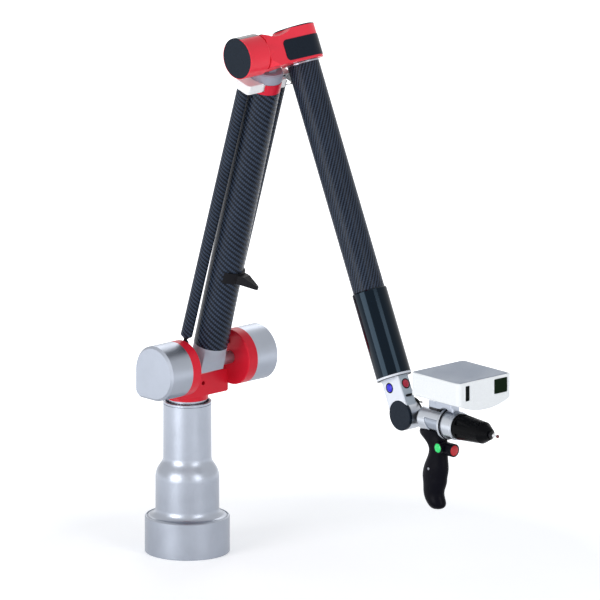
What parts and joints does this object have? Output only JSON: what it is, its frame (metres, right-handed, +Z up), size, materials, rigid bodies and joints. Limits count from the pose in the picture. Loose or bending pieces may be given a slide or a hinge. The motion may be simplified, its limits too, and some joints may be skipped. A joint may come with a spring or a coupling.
{
  "type": "portable measuring arm",
  "caption": "Portable measuring arm on a round steel base, with carbon tubes, counterbalance struts, a pistol-grip probe and a line scanner.",
  "frame": {"origin": "centre of the foot's underside", "axes": "+Z up, +Y along the hinge axes, +X the way the arm leans at rest"},
  "size_m": [0.7785, 0.2608, 0.9613],
  "materials": {
    "steel_base": "satin turned steel",
    "silver_alloy": "satin turned aluminium",
    "red_cast": "red paint on cast aluminium",
    "grey_alloy": "bead blasted aluminium",
    "carbon": "woven carbon fibre tube under clear resin",
    "bearing_steel": "ground bearing steel",
    "dark_plastic": "matt moulded plastic",
    "gloss_black": "gloss black shell",
    "slate_cap": "gloss dark slate cover",
    "white_paint": "white paint on machined aluminium",
    "white_case": "satin white moulded case",
    "grey_cover": "grey moulded cover",
    "code_glass": "chrome graduations on glass",
    "window_glass": "coated optical window",
    "ruby": "polished synthetic ruby",
    "key_blue": "moulded key",
    "key_red": "moulded key",
    "key_green": "moulded key",
    "contact_black": "moulded connector insulator"
  },
  "bodies": {
    "stand": {"base_foot": "steel_base", "base_column": "steel_base", "neck_ring": "silver_alloy", "swivel_bearings": "bearing_steel", "base_screws": "bearing_steel", "rear_sockets": "contact_black"},
    "power_switch": {"power_button": "dark_plastic"},
    "swivel": {"swivel_shaft": "silver_alloy", "base_encoder_disc": "code_glass", "shoulder_yoke": "red_cast", "shoulder_drum_left": "silver_alloy", "shoulder_drum_right": "silver_alloy", "shoulder_bearings": "bearing_steel", "strut_pins": "dark_plastic"},
    "upper_arm": {"trunnion": "grey_alloy", "shoulder_shaft": "silver_alloy", "shoulder_encoder_disc": "code_glass", "upper_tube": "carbon", "upper_collar": "red_cast", "top_casting": "white_paint", "upper_bearings": "bearing_steel", "parking_rest": "dark_plastic"},
    "strut_left": {"strut_sleeve_left": "carbon", "strut_end_left": "silver_alloy"},
    "strut_right": {"strut_sleeve_right": "carbon", "strut_end_right": "silver_alloy"},
    "rod_left": {"strut_rod_left": "silver_alloy"},
    "rod_right": {"strut_rod_right": "silver_alloy"},
    "elbow": {"elbow_stem": "grey_alloy", "elbow_shaft": "silver_alloy"},
    "forearm_head": {"elbow_housing": "red_cast", "elbow_cap": "slate_cap", "elbow_top_plate": "slate_cap", "elbow_panel": "slate_cap", "elbow_bearings": "bearing_steel"},
    "forearm": {"forearm_spindle": "silver_alloy", "forearm_tube": "carbon", "grip_sleeve": "gloss_black", "sleeve_ring": "white_paint", "wrist_fork": "white_paint", "wrist_drum": "silver_alloy", "wrist_bearings": "bearing_steel", "wrist_cap": "slate_cap"},
    "fork_key_blue": {"fork_button_blue": "key_blue"},
    "fork_key_red": {"fork_button_red": "key_red"},
    "wrist": {"wrist_rotor": "silver_alloy", "wrist_shaft": "silver_alloy"},
    "handle": {"handle_barrel": "silver_alloy", "barrel_ring": "silver_alloy", "probe_nose": "dark_plastic", "stylus": "silver_alloy", "ruby_ball": "ruby", "grip_left": "dark_plastic", "grip_right": "dark_plastic", "scanner_case": "white_case", "scanner_cover": "grey_cover", "scanner_windows": "window_glass", "scanner_bracket": "grey_alloy"},
    "grip_key_red": {"grip_button_red": "key_red"},
    "grip_key_green": {"grip_button_green": "key_green"}
  },
  "joints": [
    {"name": "base_swivel", "type": "hinge", "parent": "stand", "child": "swivel", "pos_m": [0, 0, 0.26], "axis": [0, 0, 1], "continuous": true},
    {"name": "shoulder_tilt", "type": "hinge", "parent": "swivel", "child": "upper_arm", "pos_m": [0.0492, 0, 0.3412], "axis": [0, 1, 0], "range_deg": [-20, 40]},
    {"name": "upper_roll", "type": "hinge", "parent": "upper_arm", "child": "elbow", "pos_m": [0.21146, 0, 0.91884], "axis": [0.2704, 0, 0.9627], "range_deg": [-95, 1]},
    {"name": "elbow_bend", "type": "hinge", "parent": "elbow", "child": "forearm_head", "pos_m": [0.21146, 0, 0.91884], "axis": [0, 1, 0], "range_deg": [-125, 1]},
    {"name": "forearm_roll", "type": "hinge", "parent": "forearm_head", "child": "forearm", "pos_m": [0.21146, 0.0623, 0.91884], "axis": [0.4126, 0, -0.9109], "continuous": true},
    {"name": "wrist_bend", "type": "hinge", "parent": "forearm", "child": "wrist", "pos_m": [0.4829, 0.0623, 0.3194], "axis": [0, 1, 0], "range_deg": [-38, 110]},
    {"name": "probe_roll", "type": "hinge", "parent": "wrist", "child": "handle", "pos_m": [0.54, 0.0755, 0.3194], "axis": [1, 0, 0], "continuous": true},
    {"name": "strut_swing_left", "type": "hinge", "parent": "swivel", "child": "strut_left", "pos_m": [0.041, -0.0439, 0.38], "axis": [0, 1, 0], "range_deg": [-21.13, 42.26]},
    {"name": "strut_swing_right", "type": "hinge", "parent": "swivel", "child": "strut_right", "pos_m": [0.041, 0.0439, 0.38], "axis": [0, 1, 0], "range_deg": [-21.13, 42.26]},
    {"name": "rod_swing_left", "type": "hinge", "parent": "upper_arm", "child": "rod_left", "pos_m": [0.1917, -0.0439, 0.8651], "axis": [0, 1, 0], "range_deg": [-1.13, 2.26]},
    {"name": "rod_swing_right", "type": "hinge", "parent": "upper_arm", "child": "rod_right", "pos_m": [0.1917, 0.0439, 0.8651], "axis": [0, 1, 0], "range_deg": [-1.13, 2.26]},
    {"name": "power_press", "type": "slide", "parent": "stand", "child": "power_switch", "axis": [1, 0, 0], "range_m": [0, 0.0015], "stiffness_N_per_m": 400, "springref_m": -0.001},
    {"name": "blue_press", "type": "slide", "parent": "forearm", "child": "fork_key_blue", "axis": [0, 1, 0], "range_m": [0, 0.001], "stiffness_N_per_m": 300, "springref_m": -0.001},
    {"name": "red_press", "type": "slide", "parent": "forearm", "child": "fork_key_red", "axis": [-0.9109, 0, -0.4126], "range_m": [0, 0.001], "stiffness_N_per_m": 300, "springref_m": -0.001},
    {"name": "grip_red_press", "type": "slide", "parent": "handle", "child": "grip_key_red", "axis": [-1, 0, 0], "range_m": [0, 0.0012], "stiffness_N_per_m": 300, "springref_m": -0.001},
    {"name": "grip_green_press", "type": "slide", "parent": "handle", "child": "grip_key_green", "axis": [0, 1, 0], "range_m": [0, 0.0012], "stiffness_N_per_m": 300, "springref_m": -0.001}
  ],
  "couplings": [
    {"joint": "strut_swing_left", "follows": "shoulder_tilt", "ratio": 1.0564},
    {"joint": "strut_swing_right", "follows": "shoulder_tilt", "ratio": 1.0564},
    {"joint": "rod_swing_left", "follows": "shoulder_tilt", "ratio": 0.0564},
    {"joint": "rod_swing_right", "follows": "shoulder_tilt", "ratio": 0.0564}
  ]
}
